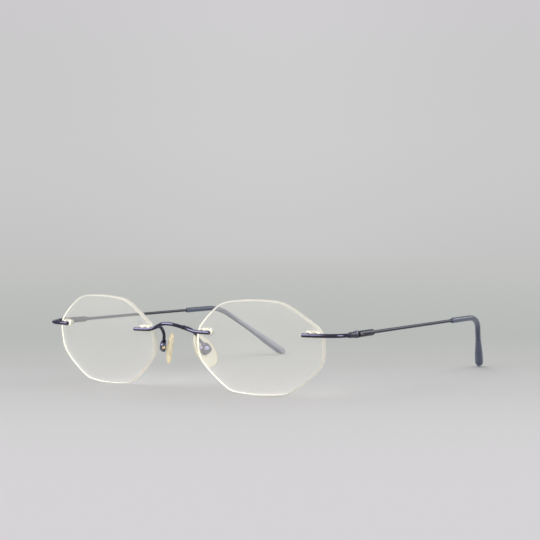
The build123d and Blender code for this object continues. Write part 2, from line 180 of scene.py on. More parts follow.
def end_material(tree, kind="ShaderNodeBsdfPrincipled", **inputs):
    """The shader that the material shows, joined to the material's output."""
    shader = add_node(tree, kind, **inputs)
    add_node(tree, "ShaderNodeOutputMaterial", Surface=shader)


print("a middle grey on screen is", round(colour(128, 128, 128)[0], 3), "in light values")

# %% [markdown]
# ## Studio: floor and backdrop
# The photo shows a seamless sheet: a pale floor that darkens a little behind the glasses and then
# rises into a lighter wall. One round bowl does both, and every other view gets a backdrop too.
# Its shade is painted along the depth of the view and up the wall. The floor part is an ordinary
# matt surface, so it keeps the shadow. The wall shows its own colour and sends no light to the
# glasses.

# %% Floor and backdrop
FLOOR_REACH, COVE_RADIUS, COVE_STEPS = 1.5, 0.12, 8
BOWL_SIDES = 128
ring_shares = (0.03, 0.1, 0.2, 0.35, 0.55, 0.8, 0.95)
wall_heights = (0.3, 0.6, 1.2, 2.2)

profile = [(share * FLOOR_REACH, 0) for share in ring_shares]
for angle in spaced(pi / 2, COVE_STEPS):
    profile.append((FLOOR_REACH + COVE_RADIUS * sin(angle), COVE_RADIUS * (1 - cos(angle))))
profile += [(FLOOR_REACH + COVE_RADIUS, height) for height in wall_heights]
turns = spaced(2 * pi, BOWL_SIDES)[:-1]
bowl = bmesh.new()
centre = bowl.verts.new((0, 0, 0))
rings = []
for reach, height in profile:
    rings.append([bowl.verts.new((reach * cos(a), reach * sin(a), height)) for a in turns])
for side in range(BOWL_SIDES):
    after = (side + 1) % BOWL_SIDES
    bowl.faces.new((centre, rings[0][side], rings[0][after]))
    for inner, outer in zip(rings, rings[1:]):
        bowl.faces.new((inner[side], outer[side], outer[after], inner[after]))
sheet = add_object("studio_sheet", bowl)
sheet.data.shade_smooth()
sheet.visible_diffuse = False
sheet.visible_shadow = False
print("studio sheet:", len(sheet.data.polygons), "faces")

# %% Paint of the floor and backdrop
# Depth behind the middle of the glasses in metres, and the shade there
DEPTH_FROM, DEPTH_TO = -0.3, 1.5
floor_shades = [
    (-0.23, (214, 211, 214)), (-0.15, (211, 210, 211)), (-0.07, (204, 203, 203)),
    (-0.01, (199, 199, 199)), (0.035, (193, 194, 192)), (0.10, (190, 191, 189)),
    (0.20, (184, 187, 184)), (0.50, (188, 190, 187)), (1.50, (194, 195, 193)),
]
# Share of the way up the painted wall, and the shade there
WALL_PAINT_TOP, WALL_FOOT = 0.45, 0.03
wall_shades = [
    (0.0, (194, 195, 193)),
    (0.13, (198, 198, 198)),
    (0.30, (201, 201, 201)),
    (0.5, (203, 203, 203)),
    (1.0, (205, 203, 205)),
]
POOL_WIDTH, POOL_MIDDLE, POOL_SIDE = 0.45, 1.035, 0.99
GLOW_FROM, GLOW_TO = 0.9, 1.4

studio, tree = new_material("studio_sheet")
place = object_place(tree)
depth_line = (-sin(CAMERA_TURN), cos(CAMERA_TURN), 0)
side_line = (cos(CAMERA_TURN), sin(CAMERA_TURN), 0)
depth = vector_maths(tree, "DOT_PRODUCT", _0=place, _1=depth_line)["Value"]
depth_span = DEPTH_TO - DEPTH_FROM
floor_stops = [((there - DEPTH_FROM) / depth_span, shade) for there, shade in floor_shades]
floor_paint = add_ramp(tree, ranged(tree, depth, DEPTH_FROM, DEPTH_TO), floor_stops)
height = add_node(tree, "ShaderNodeSeparateXYZ", _0=place).outputs["Z"]
wall_paint = add_ramp(tree, ranged(tree, height, 0.0, WALL_PAINT_TOP), wall_shades)
# A faint pool of light in the middle of the wall
aside = vector_maths(tree, "DOT_PRODUCT", _0=place, _1=side_line)["Value"]
away = maths(tree, "ABSOLUTE", aside)
pool = ranged(tree, away, 0.0, POOL_WIDTH, POOL_MIDDLE, POOL_SIDE, SMOOTH)
lit_wall = vector_maths(tree, "SCALE", _0=wall_paint, Scale=pool)[0]
paint = mixed(tree, ranged(tree, height, 0.0, WALL_FOOT), floor_paint, lit_wall)
reach = vector_maths(tree, "LENGTH", _0=place)["Value"]
on_wall = ranged(tree, reach, GLOW_FROM, GLOW_TO, settings=SMOOTH)
matt = add_node(tree, "ShaderNodeBsdfDiffuse", Color=paint)
glow = add_node(tree, "ShaderNodeEmission", Color=paint)
end_material(tree, "ShaderNodeMixShader", _0=on_wall, _1=matt, _2=glow)
sheet.data.materials.append(studio)
print("paint:", len(floor_shades), "shades on the floor,", len(wall_shades), "on the wall")

# %% [markdown]
# ## Light
# A rimless frame is nearly all edges and thin round wires, so it is drawn by what it reflects. The
# world is an even pale grey, as in a light tent. Three wide suns add what is missing to full light:
# a soft one from above, one from the front left and one from behind. Together they light a matt
# surface at about its own colour. Polished wire also mirrors bright windows in short glints. Three
# round lamps do that. Only gloss and clear plastic see them, so they light no matt surface.

# %% Lamps and world
WORLD_LEVEL = 0.84
# Name, strength, angle and direction of each sun
lamps = [
    ("top_lamp", 0.28, radians(40), (-0.3, -0.5, 1.3)),
    ("front_lamp", 0.5, radians(24), (-0.56, -0.78, 0.26)),
    ("rim_lamp", 0.2, radians(14), (0.5, 0.9, 0.9)),
]
# Name, radiance, angular radius, distance in metres and direction of each window
windows = [
    ("front_window", 7.5, radians(32), 1.2, (-0.57, -0.69, 0.44)),
    ("back_window", 1.8, radians(14), 1.25, (0.42, 0.82, 0.40)),
    ("side_window", 8.0, radians(19), 1.25, (0.90, -0.30, 0.26)),
]


def add_lamp(name, kind, toward):
    """A lamp that shines on the glasses from a direction."""
    made = add_object(name, bpy.data.lights.new(name, kind))
    made.rotation_euler = Vector(toward).to_track_quat("Z", "Y").to_euler()
    return made


for name, strength, width, toward in lamps:
    lamp = add_lamp(name, "SUN", toward)
    lamp.data.energy = strength
    lamp.data.angle = width
    level = strength * Vector(toward).normalized().z / pi
    print(name, "adds", round(level, 3), "to a level surface")
for name, radiance, spread, distance, toward in windows:
    window = add_lamp(name, "AREA", toward)
    window.location = Vector(toward).normalized() * distance
    window.data.shape = "DISK"
    window.data.size = 2 * distance * tan(spread)
    window.data.energy = radiance * pi * pi * window.data.size**2 / 4
    window.visible_camera = window.visible_diffuse = False
    print(name, "is", round(window.data.size, 2), "m across")

world = bpy.data.worlds.new("light_tent")
world.use_nodes = True
tent = world.node_tree
tent.nodes.clear()
sky = add_node(tent, "ShaderNodeBackground", Color=(1, 1, 1, 1), Strength=WORLD_LEVEL)
add_node(tent, "ShaderNodeOutputWorld", Surface=sky)
scene.world = world
scene.view_settings.view_transform = "Standard"

# %% [markdown]
# ## Shared surface effects
# A few small effects come back in many finishes, so each is a node group that is built once: fine
# grain that roughens a surface, faint marks from handling, edges that are rubbed by use, and specks
# of dust, which clear plastic shows as painted glints.
# A group only puts out numbers and normals. The shader itself stays in each material.

# %% Node groups for surface effects
FULLY_RUBBED = 0.82
MASK = {"Mask": "Float"}


def new_tree(name, kind, inputs, outputs):
    """An empty node tree with named sockets, and the sockets that bring its inputs."""
    tree = bpy.data.node_groups.new(name, kind)
    for way, sockets in (("INPUT", inputs), ("OUTPUT", outputs)):
        for label, holds in sockets.items():
            tree.interface.new_socket(label, in_out=way, socket_type="NodeSocket" + holds)
    return tree, tree.nodes.new("NodeGroupInput").outputs


def new_group(name, numbers, outputs=MASK):
    """An empty group for shaders whose inputs are numbers."""
    return new_tree(name, "ShaderNodeTree", dict.fromkeys(numbers, "Float"), outputs)


def add_texture(tree, kind, size_mm, **inputs):
    """A texture on the object whose features have a size in millimetres."""
    scale = maths(tree, "DIVIDE", 1 / MM, size_mm)
    return add_node(tree, kind, Vector=object_place(tree), Scale=scale, **inputs)


def use_group(tree, group, **inputs):
    """A group placed in a material with its own values, and its outputs."""
    return add_node(tree, "ShaderNodeGroup", {"node_tree": group}, **inputs).outputs


grain, given = new_group("fine_grain", ("Size mm", "Depth mm"), {"Normal": "Vector", **MASK})
noise = add_texture(grain, "ShaderNodeTexNoise", given["Size mm"], Detail=3.0)
depth_m = maths(grain, "MULTIPLY", given["Depth mm"], MM)
rise = maths(grain, "MULTIPLY", noise, depth_m)
bump = add_node(grain, "ShaderNodeBump", Distance=1.0, Height=rise)
add_node(grain, "NodeGroupOutput", Normal=bump, Mask=noise)

marks, given = new_group("handling_marks", ("Size mm", "Cover"))
cloud = add_texture(marks, "ShaderNodeTexNoise", given["Size mm"], Detail=5.0, Distortion=0.6)
edge = maths(marks, "SUBTRACT", 1.0, given["Cover"])
smudge = ranged(marks, cloud, edge, 1.0, settings=SMOOTH)
add_node(marks, "NodeGroupOutput", Mask=smudge)

rubbed, given = new_group("rubbed_edges", ("Reach mm",))
reach_m = maths(rubbed, "MULTIPLY", given["Reach mm"], MM)
eased = add_node(rubbed, "ShaderNodeBevel", {"samples": 6}, Radius=reach_m)
facing = add_node(rubbed, "ShaderNodeNewGeometry").outputs["Normal"]
match = vector_maths(rubbed, "DOT_PRODUCT", _0=eased, _1=facing)["Value"]
add_node(rubbed, "NodeGroupOutput", Mask=ranged(rubbed, match, 1.0, FULLY_RUBBED))

# Specks of dust. The clear plastics show them as painted glints.
dust, given = new_group("dust", ("Spacing mm", "Speck"))
cells = add_texture(dust, "ShaderNodeTexVoronoi", given["Spacing mm"])
speck = ranged(dust, cells.outputs["Distance"], given["Speck"], 0.0, settings=SMOOTH)
add_node(dust, "NodeGroupOutput", Mask=speck)
print("groups:", [group.name for group in (grain, marks, rubbed, dust)])

# %% [markdown]
# ## Finishes
# The metal is a hard blue-grey coating over steel: dark from straight on, pale where it mirrors the
# tent. On rubbed edges a paler metal shows through the fine grain, and marks from handling change
# how glossy it is, so no piece is one flat colour.

# %% Metals
METAL_SMUDGE = 0.14


def metal(name, body, worn, roughness, gloss_tint, coat):
    """A coated or bare metal: body colour, colour at rubbed edges, roughness where it is clean."""
    made, tree = new_material(name)
    wear = use_group(tree, rubbed, Reach_mm=0.08)["Mask"]
    handled = use_group(tree, marks, Size_mm=3.0, Cover=0.62)["Mask"]
    fine = use_group(tree, grain, Size_mm=0.12, Depth_mm=0.0005)
    speckle = maths(tree, "MULTIPLY", wear, fine["Mask"])
    end_material(
        tree,
        Base_Color=mixed(tree, speckle, colour(*body), colour(*worn)),
        Metallic=1.0,
        Roughness=ranged(tree, handled, to_low=roughness, to_high=roughness + METAL_SMUDGE),
        Coat_Weight=coat,
        Coat_Roughness=0.1,
        Specular_Tint=(*gloss_tint, 1),
        Normal=fine["Normal"],
    )
    return made


# Name, body, worn edges, roughness, tint of the gloss and strength of the coat, for each slot
metals = {
    "wire_metal": ("blue_coated_wire", (58, 56, 74), (104, 102, 126), 0.13, (0.4, 0.4, 0.55), 0.4),
    "temple_metal": (
        "blue_coated_temple", (76, 78, 86), (116, 118, 126), 0.2, (0.45, 0.45, 0.5), 0.4
    ),
    "box_metal": ("pad_box_metal", (96, 96, 118), (176, 176, 190), 0.14, (0.5, 0.5, 0.6), 0.3),
    "screw_metal": ("pad_screw_brass", (222, 198, 150), (240, 228, 196), 0.22, (1, 0.95, 0.85), 0),
    "hinge_screw_metal": (
        "hinge_screw_steel", (130, 130, 142), (214, 212, 210), 0.22, (0.9, 0.9, 0.9), 0
    ),
    "pin_metal": ("lock_pin_copper", (176, 128, 112), (222, 196, 178), 0.25, (0.9, 0.8, 0.75), 0),
}
finish = {slot: metal(*values) for slot, values in metals.items()}
print("metals:", len(finish))

# %% [markdown]
# The lens is cut from clear plastic sheet. Its faces are polished, and its edge is ground: tiny
# scratches scatter the light that runs inside the lens, so the edge shows up as a bright, slightly
# cream band. Here that light is a painted glow of the edge. The faces and the edge are two finishes
# on one mesh.

# %% Clear plastics
SMUDGED_SHADE = 0.985


def clear_plastic(name, tint, roughness, cover, smudge, index=1.5, transmission=1.0, dust_glint_level=0.0):
    """Clear polished plastic with a faint haze from handling and dust specks as painted glints."""
    made, tree = new_material(name)
    handled = use_group(tree, marks, Size_mm=7.0, Cover=cover)["Mask"]
    glinting_dust = use_group(tree, dust, Spacing_mm=1.4, Speck=0.1)["Mask"]
    hazed = colour(*[SMUDGED_SHADE * value for value in tint])
    end_material(
        tree,
        Base_Color=mixed(tree, handled, colour(*tint), hazed),
        Roughness=ranged(tree, handled, to_low=roughness, to_high=roughness + smudge),
        IOR=index,
        Transmission_Weight=transmission,
        # Painted glints: the dust specks glow a little, as if they caught the light
        Emission_Color=mixed(tree, glinting_dust, (0, 0, 0, 1), (dust_glint_level, dust_glint_level, dust_glint_level, 1)),
        Emission_Strength=1.0,
    )
    return made


finish["lens"] = clear_plastic(
    "lens_clear", (255, 254, 252), 0.0, cover=0.5, smudge=0.03, transmission=0.91, dust_glint_level=0.3
)
finish["sleeve"] = clear_plastic(
    "sleeve_nylon", (254, 251, 238), 0.15, cover=0.7, smudge=0.1, index=1.53, transmission=0.5
)
print("clear plastics:", finish["lens"].name, finish["sleeve"].name)

# %% Ground edge of the lens
# Strength of the painted glow of the edge, seen from outside and from inside
OUTER_GLOW, INNER_GLOW = 0.02, 0.45

finish["lens_edge"], tree = new_material("lens_ground_edge")
fine = use_group(tree, grain, Size_mm=0.09, Depth_mm=0.004)
cloud = use_group(tree, marks, Size_mm=2.2, Cover=0.6)["Mask"]
inner = mixed(tree, cloud, colour(252, 249, 238), colour(244, 238, 220))
# Painted glow: an emission stands in for the light that ran inside the lens and leaves it here.
# Seen from inside, the edge is painted paler and glows more.
inside = add_node(tree, "ShaderNodeNewGeometry").outputs["Backfacing"]
shade = mixed(tree, inside, colour(230, 226, 214), inner)
level = ranged(tree, inside, to_low=OUTER_GLOW, to_high=INNER_GLOW)
end_material(
    tree,
    Base_Color=shade,
    Roughness=0.45,
    IOR=1.5,
    Transmission_Weight=0.2,
    Emission_Color=vector_maths(tree, "SCALE", _0=shade, Scale=level)[0],
    Emission_Strength=1.0,
    Normal=fine["Normal"],
)
print("finishes so far:", sorted(finish))

# %% [markdown]
# The nose pads are moulded soft plastic that has yellowed a little with age: milky in the middle,
# amber where one looks along the edge. The ear tips are a grey-blue plastic that light passes into,
# so both get some transmission under a satin surface.

# %% Soft plastics
PLASTIC_SMUDGE = 0.12


def moulded(name, face, rim, roughness, transmission, index=1.45, glow=0.0, blend=0.35):
    """Satin translucent plastic. Its colour turns from face to rim as the surface turns away."""
    made, tree = new_material(name)
    fine = use_group(tree, grain, Size_mm=0.35, Depth_mm=0.001)
    cloud = use_group(tree, marks, Size_mm=3.5, Cover=0.6)["Mask"]
    turn = add_node(tree, "ShaderNodeLayerWeight", Blend=blend).outputs["Facing"]
    shade = mixed(tree, turn, colour(*face), colour(*rim))
    end_material(
        tree,
        Base_Color=shade,
        Roughness=ranged(tree, cloud, to_low=roughness, to_high=roughness + PLASTIC_SMUDGE),
        IOR=index,
        Transmission_Weight=transmission,
        # With glow above zero the plastic also shines in its own colour: a painted glow, as it is
        # no lamp
        Emission_Color=shade,
        Emission_Strength=glow,
        Normal=fine["Normal"],
    )
    return made


# The pad gets a faint painted glow that lifts its whole colour
finish["pad"] = moulded(
    "pad_plastic", (248, 248, 236), (255, 216, 104), 0.12, 0.6, glow=0.07, blend=0.3
)
finish["core"] = moulded(
    "pad_core_plastic", (250, 248, 236), (244, 236, 212), 0.2, 0.85, index=1.04
)
finish["tip"] = moulded("ear_tip_plastic", (118, 126, 148), (88, 96, 126), 0.2, 0.42)
print("finishes:", len(finish))

# %% [markdown]
# On the drop behind the ear the upper side is painted in a light colour, a painted highlight, and
# the under side in a dark one, painted shade that also stands for the steel core lying near it.
# Both tips are mirror images, so the distance sideways is made positive first, and one direction
# then tells the under side of both.

# %% Painted light upper side and painted shade under side of the ear tips
UNDER_SIDE = Vector((0.2263, -0.5051, -0.8333))
UNDER_FROM, UNDER_TO = -0.02584, -0.02454
DROP_FROM, DROP_TO = 0.040, 0.050
# A painted light colour for the upper side, and painted shade for the under side, near the core
PAINTED_UPPER_LIGHT, PAINTED_UNDER_SHADE = colour(172, 180, 192), colour(74, 82, 108)

tree = finish["tip"].node_tree
place = object_place(tree)
folded = vector_maths(tree, "ABSOLUTE", _0=place)[0]
under = vector_maths(tree, "DOT_PRODUCT", _0=folded, _1=UNDER_SIDE)["Value"]
under_share = ranged(tree, under, UNDER_FROM, UNDER_TO, settings=SMOOTH)
depth_back = add_node(tree, "ShaderNodeSeparateXYZ", _0=place).outputs["Y"]
on_drop = ranged(tree, depth_back, DROP_FROM, DROP_TO, settings=SMOOTH)
painted_sides = mixed(tree, under_share, PAINTED_UPPER_LIGHT, PAINTED_UNDER_SHADE)
tip_shader = next(node for node in tree.nodes if node.type == "BSDF_PRINCIPLED")
plain_shade = tip_shader.inputs["Base Color"].links[0].from_socket
tree.links.new(mixed(tree, on_drop, plain_shade, painted_sides), tip_shader.inputs["Base Color"])
print("the tip's colour changes from", DROP_FROM * 1000, "to", DROP_TO * 1000, "mm back")

# %% [markdown]
# ## The shape of the front
# Each lens stands on its lower side, leans forward at the top and follows the face a little. Three
# directions describe that plane: across, up and forward. A mount plane then touches the lens face
# where the two pins go through. Everything on the front is placed from these planes.

# %% Planes of the lens and its mounts
LENS_SIZE = Vector((50.0, 32.9))
LENS_THICKNESS = 2.0
FRONT_RADIUS = 132.0
LENS_CENTRE = Vector((34.7835, -67.5965, 16.1913))
WRAP, LEAN = radians(4.9), radians(7.2)
MOUNT_HEIGHT, NASAL_INSET, TEMPORAL_INSET = 4.9, 4.3, 3.9


def as_matrix(origin, across, outward):
    """Local axes as a matrix, X across and Z outward, in millimetres."""
    z = outward.normalized()
    x = (across - z * across.dot(z)).normalized()
    return Matrix.Translation(origin) @ Matrix((x, z.cross(x), z)).transposed().to_4x4()


def in_metres(matrix):
    """A transform given in millimetres, for points in metres."""
    return Matrix.Scale(MM, 4) @ matrix @ Matrix.Scale(1 / MM, 4)


lens_across = Vector((cos(WRAP), sin(WRAP) * cos(LEAN), sin(WRAP) * sin(LEAN)))
lens_forward = Vector((sin(WRAP), -cos(WRAP) * cos(LEAN), -cos(WRAP) * sin(LEAN)))
lens_plane = as_matrix(LENS_CENTRE, lens_across, lens_forward)
ball_centre = lens_plane @ Vector((0, 0, -FRONT_RADIUS))


def mount_plane(across):
    """Plane that touches the lens face at a mount."""
    deep = sqrt(FRONT_RADIUS**2 - across**2 - MOUNT_HEIGHT**2) - FRONT_RADIUS
    touch = lens_plane @ Vector((across, MOUNT_HEIGHT, deep))
    outward = touch - ball_centre
    return as_matrix(touch, UP.cross(outward), outward)


nasal = mount_plane(NASAL_INSET - LENS_SIZE.x / 2)
temporal = mount_plane(LENS_SIZE.x / 2 - TEMPORAL_INSET)
print("nasal mount:", nasal.translation[:], "temporal mount:", temporal.translation[:])

# %% [markdown]
# ## Paths that bend smoothly
# A wire is drawn by its centre line. A bent wire is straight runs joined by arcs that meet them
# smoothly, so one helper walks along an arc that leaves a point in a known direction, and another
# joins two directions by two arcs. Each point also carries its thickness, as a share of the wire's.

# %% Helpers for centre lines
ARC_STEP = radians(2.5)
THINNEST = 0.02


def arc(start, end, tangent):
    """Points on the arc that leaves start along tangent and reaches end, and its way there."""
    chord = end - start
    t = tangent.normalized()
    half = chord.angle(t)
    if half < 1e-4:
        return [start, end], t
    side = (chord - t * chord.dot(t)).normalized()
    radius = chord.length / (2 * sin(half))
    steps = max(2, int(2 * half / ARC_STEP))
    points = [start + (t * sin(a) + side * (1 - cos(a))) * radius for a in spaced(2 * half, steps)]
    return points, t * cos(2 * half) + side * sin(2 * half)


def smooth_bend(start, start_way, end, end_way):
    """Two arcs that meet smoothly between a start and an end with known directions."""
    chord = end - start
    along = chord.dot(start_way + end_way)
    turn = 2 * (1 - start_way.dot(end_way))
    handle = chord.length_squared / (along + sqrt(along**2 + turn * chord.length_squared))
    joint = (start + end + (start_way - end_way) * handle) / 2
    first, _ = arc(start, joint, start_way)
    second, _ = arc(end, joint, -end_way)
    return first[:-1] + second[::-1]


def full(points):
    """Points of full thickness."""
    return [(point, 1.0) for point in points]


def rounded_end(stations, length_mm, end_share, steps=6, at_start=True):
    """Stations with a rounded end, its outline a quarter ellipse of that length."""
    ordered = stations if at_start else stations[::-1]
    (tip, _), (after, _) = ordered[0], ordered[1]
    way = (after - tip).normalized()
    cap = []
    for turn in spaced(pi / 2, steps):
        share = end_share + (1 - end_share) * sin(turn)
        cap.append((tip + way * length_mm * (1 - cos(turn)), max(share, THINNEST)))
    ordered = cap + ordered[1:]
    return ordered if at_start else ordered[::-1]


print("a quarter turn takes", len(arc(ACROSS, BACK, BACK)[0]), "points")

# %% [markdown]
# ## Wires with Geometry Nodes
# Every wire is the same idea: a round section carried along a path. One node tree does it for all
# of them. It takes the wire's radius and the number of sides, scales the section by the thickness
# share kept on each point, and ends in Realize Instances and Set Material. Pins are short paths in
# the same object, so a bar and its two pins come out together.

# %% Geometry Nodes tree for wires
GEOMETRY = {"Geometry": "Geometry"}


def geometry_tree(name, **inputs):
    """An empty geometry tree with named inputs. _ stands for a space."""
    inputs = {label.replace("_", " "): holds for label, holds in inputs.items()}
    return new_tree(name, "GeometryNodeTree", {**GEOMETRY, **inputs}, GEOMETRY)


def end_tree(tree, geometry, material):
    """The last nodes of each tree: smooth shading, real geometry and the material."""
    smooth = add_node(tree, "GeometryNodeSetShadeSmooth", Geometry=geometry)
    real = add_node(tree, "GeometryNodeRealizeInstances", Geometry=smooth)
    coated = add_node(tree, "GeometryNodeSetMaterial", Geometry=real, Material=material)
    add_node(tree, "NodeGroupOutput", Geometry=coated)
    print(tree.name, "has", len(tree.nodes), "nodes")


wire_tree, given = geometry_tree(
    "wire_along_path", Wire_radius="Float", Sides="Int", Material="Material"
)
sizes = {"Resolution": given["Sides"], "Radius": given["Wire radius"]}
section = add_node(wire_tree, "GeometryNodeCurvePrimitiveCircle", **sizes)
tube = add_node(
    wire_tree,
    "GeometryNodeCurveToMesh",
    Curve=given["Geometry"],
    Profile_Curve=section.outputs["Curve"],
    Scale=add_node(wire_tree, "GeometryNodeInputRadius"),
    Fill_Caps=True,
)
end_tree(wire_tree, tube, given["Material"])

# %% From a tree to a finished piece
CREASE, MERGE_REACH = radians(50), 1e-7


def evaluated_mesh(piece):
    """A plain mesh of the piece with its modifiers worked in."""
    graph = bpy.context.evaluated_depsgraph_get()
    return bpy.data.meshes.new_from_object(piece.evaluated_get(graph), depsgraph=graph)


def run_tree(piece, tree, name, **inputs):
    """The piece through a geometry tree, as a plain mesh object with no modifier left."""
    modifier = piece.modifiers.new(tree.name, "NODES")
    modifier.node_group = tree
    for item in tree.interface.items_tree:
        key = item.name.replace(" ", "_")
        if item.in_out == "INPUT" and key in inputs:
            modifier[item.identifier] = inputs[key]
    mesh = evaluated_mesh(piece)
    bpy.data.objects.remove(piece)
    mesh.name = name
    bm = bmesh.new()
    bm.from_mesh(mesh)
    bmesh.ops.remove_doubles(bm, verts=bm.verts, dist=MERGE_REACH)
    bmesh.ops.recalc_face_normals(bm, faces=bm.faces)
    bm.to_mesh(mesh)
    bm.free()
    mesh.set_sharp_from_angle(angle=CREASE)
    print(name, "has", len(mesh.polygons), "faces")
    return add_object(name, mesh)


def wire(name, paths, radius_mm, slot, body, node, sides=40):
    """A wire through paths of (point, thickness share), in millimetres, on its body."""
    curve = bpy.data.curves.new(name + "_path", "CURVE")
    curve.dimensions = "3D"
    for path in paths:
        spline = curve.splines.new("POLY")
        spline.points.add(len(path) - 1)
        for spot, (point, thickness) in zip(spline.points, path):
            spot.co = (*(point * MM), 1)
            spot.radius = thickness
    inputs = {"Wire_radius": radius_mm * MM, "Sides": sides, "Material": finish[slot]}
    piece = run_tree(add_object(curve.name, curve), wire_tree, name, **inputs)
    place_piece(piece, body, node)


print("points closer than", MERGE_REACH, "m become one")


# %% A piece in its place, and its twin
def mirrored(piece):
    """The wearer's right twin of a left piece, its faces turned outward again."""
    twin = piece.data.copy()
    twin.transform(Matrix.Scale(-1, 4, ACROSS))
    twin.flip_normals()
    return add_object(piece.name.replace("_left", "_right"), twin)


def place_piece(piece, body, node):
    """The piece rides on its body and stands for its CAD node. A left piece brings its twin."""
    pair = [(piece, body, node)]
    if "_left" in piece.name:
        twin_names = [name.replace("_left", "_right") for name in (body, node)]
        pair.append((mirrored(piece), *twin_names))
    for made, rides_on, stands_for in pair:
        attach(made, rides_on)
        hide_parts(stands_for)
        print(made.name, "stands for", stands_for, "and rides on", rides_on)


# %% [markdown]
# ## Bridge
# One wire crosses the nose. At each lens it is a straight bar with rounded ends and two pins that
# plug into the clear sleeves. Between the bars it steps forward and up in one soft curve. The right
# half is the left half read backwards.

# %% Bars and pins
BRIDGE_WIRE, END_WIRE, ARM_WIRE, PIN_WIRE = 1.25, 1.35, 1.15, 0.9
PIN_SPACING, BAR_PAST_PIN, SLEEVE_LIP = 2.9, 1.75, 0.45
PIN_REACH, PIN_ROUNDING, PIN_END_SHARE = 3.0, 0.15, 0.7
BAR_ROUNDING, BAR_END_SHARE = 0.22, 0.62


def pin_paths(plane, lift, wire_mm):
    """Two pins that go from a bar through the lens."""
    share = PIN_WIRE / wire_mm
    depths = [(lift, 1.0), (-PIN_REACH + PIN_ROUNDING, 1.0), (-PIN_REACH, PIN_END_SHARE)]
    paths = []
    for side in (-PIN_SPACING / 2, PIN_SPACING / 2):
        paths.append([(plane @ Vector((side, 0, z)), share * thick) for z, thick in depths])
    return paths


bridge_lift = SLEEVE_LIP + BRIDGE_WIRE / 2
end_lift = SLEEVE_LIP + END_WIRE / 2
bar_reach = PIN_SPACING / 2 + BAR_PAST_PIN
print("a bar reaches", bar_reach, "mm past the middle of its mount")

# %% Bridge
STRAIGHT_RUN = 5.08
CROWN_FORWARD, CROWN_RISE = 4.7, 2.57
SHOULDER_ACROSS, SHOULDER_BACK, SHOULDER_RISE = 0.376, 0.52, 0.7

bar_end = nasal @ Vector((bar_reach, 0, bridge_lift))
inward = nasal.to_3x3() @ -ACROSS
foot = bar_end + inward * STRAIGHT_RUN
crown = Vector((0, LENS_CENTRE.y - CROWN_FORWARD + BRIDGE_WIRE / 2, foot.z + CROWN_RISE))
shoulder_y = foot.y + (crown.y - foot.y) * SHOULDER_BACK
shoulder = Vector((foot.x * SHOULDER_ACROSS, shoulder_y, foot.z + CROWN_RISE * SHOULDER_RISE))
crown_arc, crown_way = arc(crown, shoulder, ACROSS)
half = [bar_end] + smooth_bend(foot, inward, shoulder, -crown_way)[:-1] + crown_arc[::-1]
flip = Vector((-1, 1, 1))
line = full(half + [point * flip for point in half[-2::-1]])
line = rounded_end(line, BAR_ROUNDING, BAR_END_SHARE)
line = rounded_end(line, BAR_ROUNDING, BAR_END_SHARE, at_start=False)
pins = pin_paths(nasal, bridge_lift, BRIDGE_WIRE)
pins += [[(point * flip, thick) for point, thick in path] for path in pins]
wire("bridge_wire", [line] + pins, BRIDGE_WIRE / 2, "wire_metal", "front", "bridge")
print("bridge crown at", [round(value, 2) for value in crown])

# %% [markdown]
# ## Endpieces
# The wire at the outer edge of each lens starts with the same kind of bar and pins, then turns back
# in one bend and ends inside the hinge block.

# %% Endpieces
HINGE = Vector((65.8536, -53.3465, 21.45))
BLOCK_LENGTH, RUN_IN_BLOCK = 5.2, 2.1
TURN_FROM = 4.4

end_start = temporal @ Vector((-bar_reach, 0, end_lift))
turn_start = temporal @ Vector((TURN_FROM, 0, end_lift))
mouth = HINGE - BACK * BLOCK_LENGTH
end_way = temporal.to_3x3() @ ACROSS
end_line = [end_start] + smooth_bend(turn_start, end_way, mouth, BACK)
end_line = rounded_end(full(end_line + [mouth + BACK * RUN_IN_BLOCK]), BAR_ROUNDING, BAR_END_SHARE)
end_paths = [end_line] + pin_paths(temporal, end_lift, END_WIRE)
wire("endpiece_wire_left", end_paths, END_WIRE / 2, "wire_metal", "front", "endpiece_left")

# %% [markdown]
# ## Pad arms
# A thinner wire is soldered to the back of the bridge and drops to the pad's cup. The solder leaves
# a small collar, so the wire is thicker over its first millimetre.

# %% Pad arms
ARM_TURN = radians(20)
# Distance from the root, then thickness as a share of the wire's
collar = [(0.0, 1.3), (0.62, 1.3), (0.85, 1.12)]
COLLAR_END = 1.15

arm_root = Vector((5.6085, -69.9455, 22.3599))
arm_end = Vector((10.0144, -61.6645, 15.4176))
arm_drop = Vector((8.65, LENS_CENTRE.y + 4.65, 17.55))
arm_way = Vector((sin(ARM_TURN), cos(ARM_TURN), 0))
arm_bend = smooth_bend(arm_root, arm_way, arm_drop, (arm_end - arm_drop).normalized()) + [arm_end]
arm_line = [(arm_root + arm_way * along, share) for along, share in collar]
arm_line += full(point for point in arm_bend if (point - arm_root).length > COLLAR_END)
wire("pad_arm_wire_left", [arm_line], ARM_WIRE / 2, "wire_metal", "front", "pad_arm_left")

# %% [markdown]
# ## Temples
# The temple is a straight rod from the hinge to the ear. Its wire runs inside the ear tip, past the
# bend, and shows through the plastic.

# %% Temple wires
TEMPLE_WIRE = 1.15
CORE_ROUNDING, CORE_END_SHARE = 0.4, 0.3

wire_start = Vector((65.6642, -44.5993, 21.5615))
bend_start = Vector((63.9678, 33.7690, 22.5603))
bend_end = Vector((61.1218, 47.7338, 18.0527))
core_end = Vector((57.7677, 55.2220, 12.2685))
temple_way = (bend_start - wire_start).normalized()
drop_way = (core_end - bend_end).normalized()
bend, _ = arc(bend_start, bend_end, temple_way)
temple_line = full([wire_start] + bend + [core_end])
rod = [rounded_end(temple_line, CORE_ROUNDING, CORE_END_SHARE, at_start=False)]
wire("temple_rod_left", rod, TEMPLE_WIRE / 2, "temple_metal", "temple_left", "temple_wire_left")

